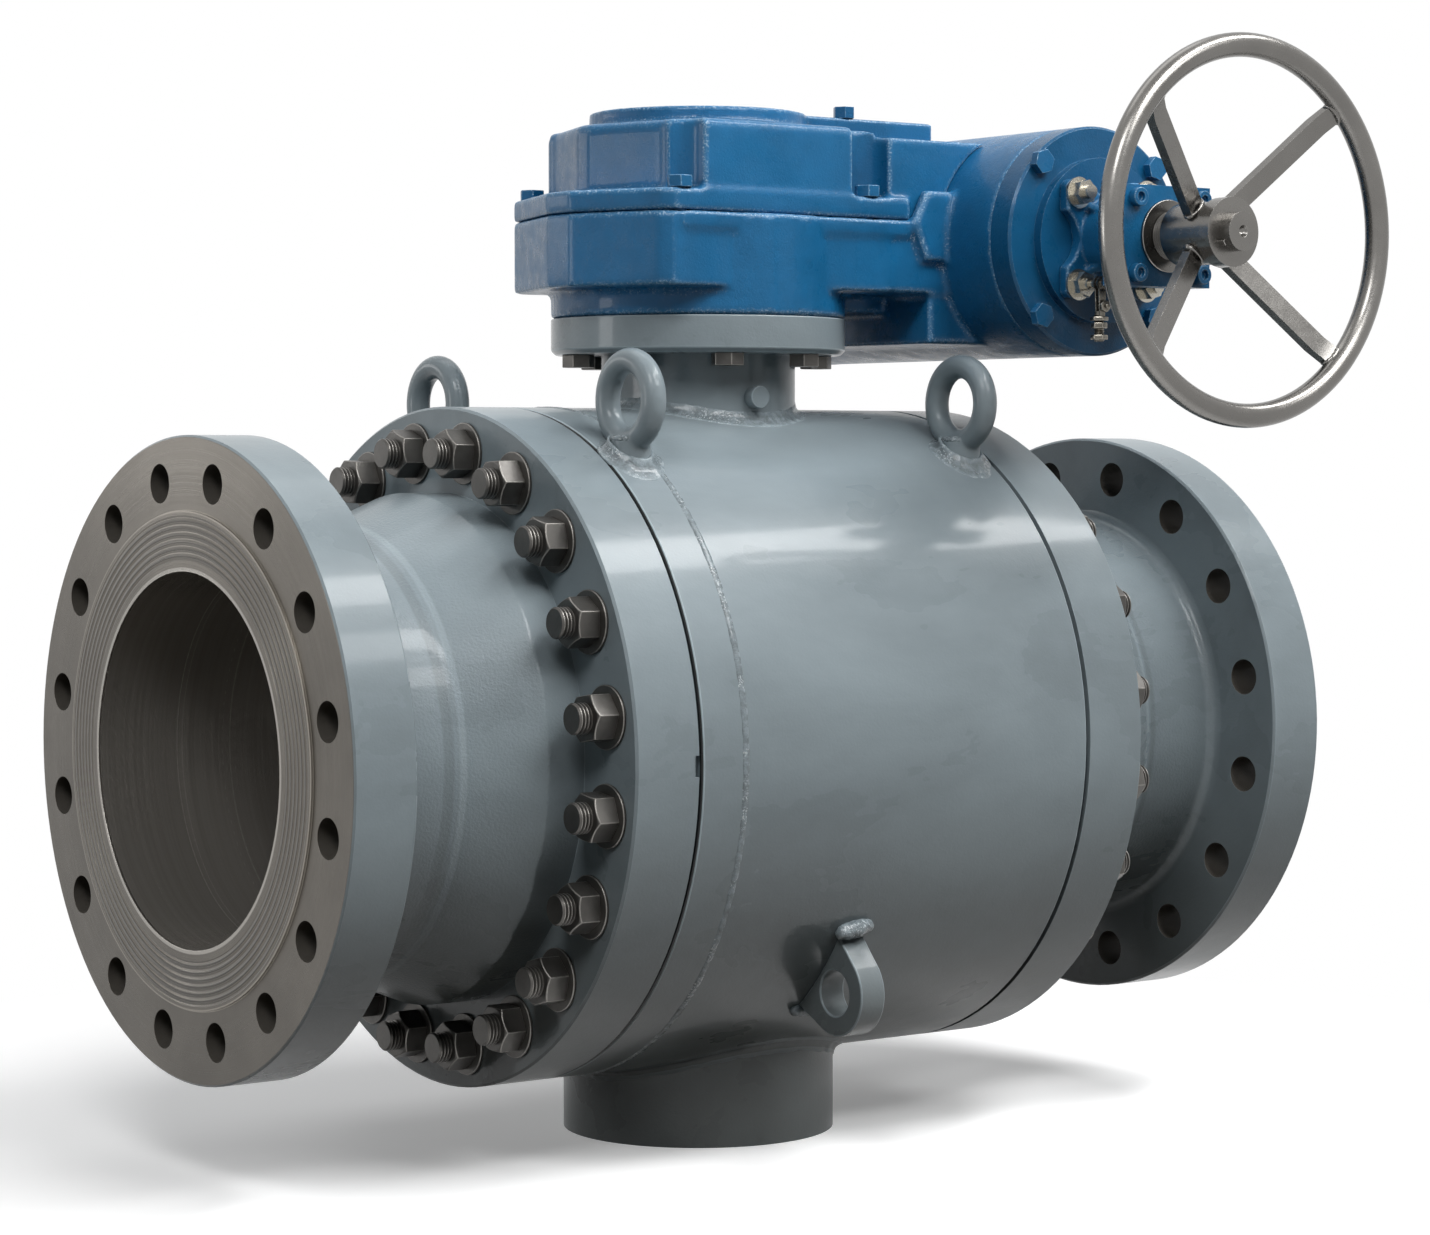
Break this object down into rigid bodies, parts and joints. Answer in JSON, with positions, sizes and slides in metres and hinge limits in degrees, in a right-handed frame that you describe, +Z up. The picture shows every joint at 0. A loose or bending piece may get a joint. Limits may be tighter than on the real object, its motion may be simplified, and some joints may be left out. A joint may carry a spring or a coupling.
{
  "type": "geared trunnion ball valve",
  "caption": "Flanged trunnion ball valve on a pedestal, turned a quarter by a handwheel through a worm gear operator",
  "frame": {"origin": "middle of the pedestal's foot, on the stem axis", "axes": "+Z up along the stem, X along the pipe, handwheel toward -Y"},
  "size_m": [1.014, 0.6919, 0.9412],
  "materials": {
    "grey_paint": "satin",
    "closure_paint": "satin, end faces bare",
    "blue_paint": "gloss",
    "dark_steel": "dull",
    "zinc": "zinc plated",
    "wheel_steel": "brushed",
    "steel": "machined",
    "plated_ball": "polished",
    "bronze": "machined",
    "iron": "as cast",
    "graphite": "matte",
    "polymer": "matte"
  },
  "bodies": {
    "valve_body": {"bearing_bracket": "blue_paint", "body_shell": "grey_paint", "bracket_bearing": "steel", "bracket_nuts": "zinc", "bracket_plate": "blue_paint", "bracket_studs": "zinc", "closure_gaskets": "graphite", "closure_nuts": "dark_steel", "closure_studs": "dark_steel", "closure_washers": "dark_steel", "cover_bolts": "blue_paint", "drum_end_cover": "blue_paint", "drum_rear_cover": "blue_paint", "end_cover_bolts": "blue_paint", "filler_plug": "blue_paint", "gear_case": "blue_paint", "gear_cover": "blue_paint", "gland_ring": "steel", "grease_nipple": "wheel_steel", "layshaft_bearings": "steel", "left_closure": "closure_paint", "lifting_eyes": "grey_paint", "lower_trunnion": "grey_paint", "lower_trunnion_bush": "bronze", "lower_trunnion_screws": "dark_steel", "mounting_bolts": "dark_steel", "mounting_disc": "grey_paint", "neck": "grey_paint", "neck_plug": "grey_paint", "output_bearings": "steel", "pedestal": "grey_paint", "plate_screws": "blue_paint", "rear_cover_bolts": "blue_paint", "right_closure": "closure_paint", "seat_inserts": "polymer", "seat_rings": "steel", "seat_springs": "steel", "shaft_seal_ring": "wheel_steel", "side_lugs": "grey_paint", "stem_bush": "bronze", "stem_seals": "graphite", "thrust_disc": "bronze", "upper_trunnion_bearing": "bronze", "worm_bearings": "steel"},
    "ball_and_stem": {"ball": "plated_ball", "stem": "steel", "drive_keys": "steel", "stem_key": "steel", "stem_gear": "steel"},
    "intermediate_shaft": {"pinion_shaft": "steel", "wheel_key": "steel", "wheel_hub": "iron", "worm_wheel": "bronze"},
    "handwheel_shaft": {"worm_shaft": "wheel_steel", "hub_key": "wheel_steel", "handwheel": "wheel_steel"},
    "lock_lever": {"lock_lever": "zinc"}
  },
  "joints": [
    {"name": "ball_turn", "type": "hinge", "parent": "valve_body", "child": "ball_and_stem", "pos_m": [0, 0, 0.346], "axis": [0, 0, -1], "range_deg": [0, 90]},
    {"name": "intermediate_turn", "type": "hinge", "parent": "valve_body", "child": "intermediate_shaft", "pos_m": [0.16, 0, 0.777], "axis": [0, 0, 1], "range_deg": [0, 150]},
    {"name": "handwheel_turn", "type": "hinge", "parent": "valve_body", "child": "handwheel_shaft", "pos_m": [0.2775, -0.397, 0.777], "axis": [0, 1, 0], "range_deg": [0, 5400]},
    {"name": "lock_lever_swing", "type": "hinge", "parent": "valve_body", "child": "lock_lever", "pos_m": [0.2379, -0.26, 0.7374], "axis": [0, 1, 0], "range_deg": [-60, 90]}
  ],
  "couplings": [
    {"joint": "intermediate_turn", "follows": "ball_turn", "ratio": 1.6667},
    {"joint": "handwheel_turn", "follows": "ball_turn", "ratio": 60}
  ]
}
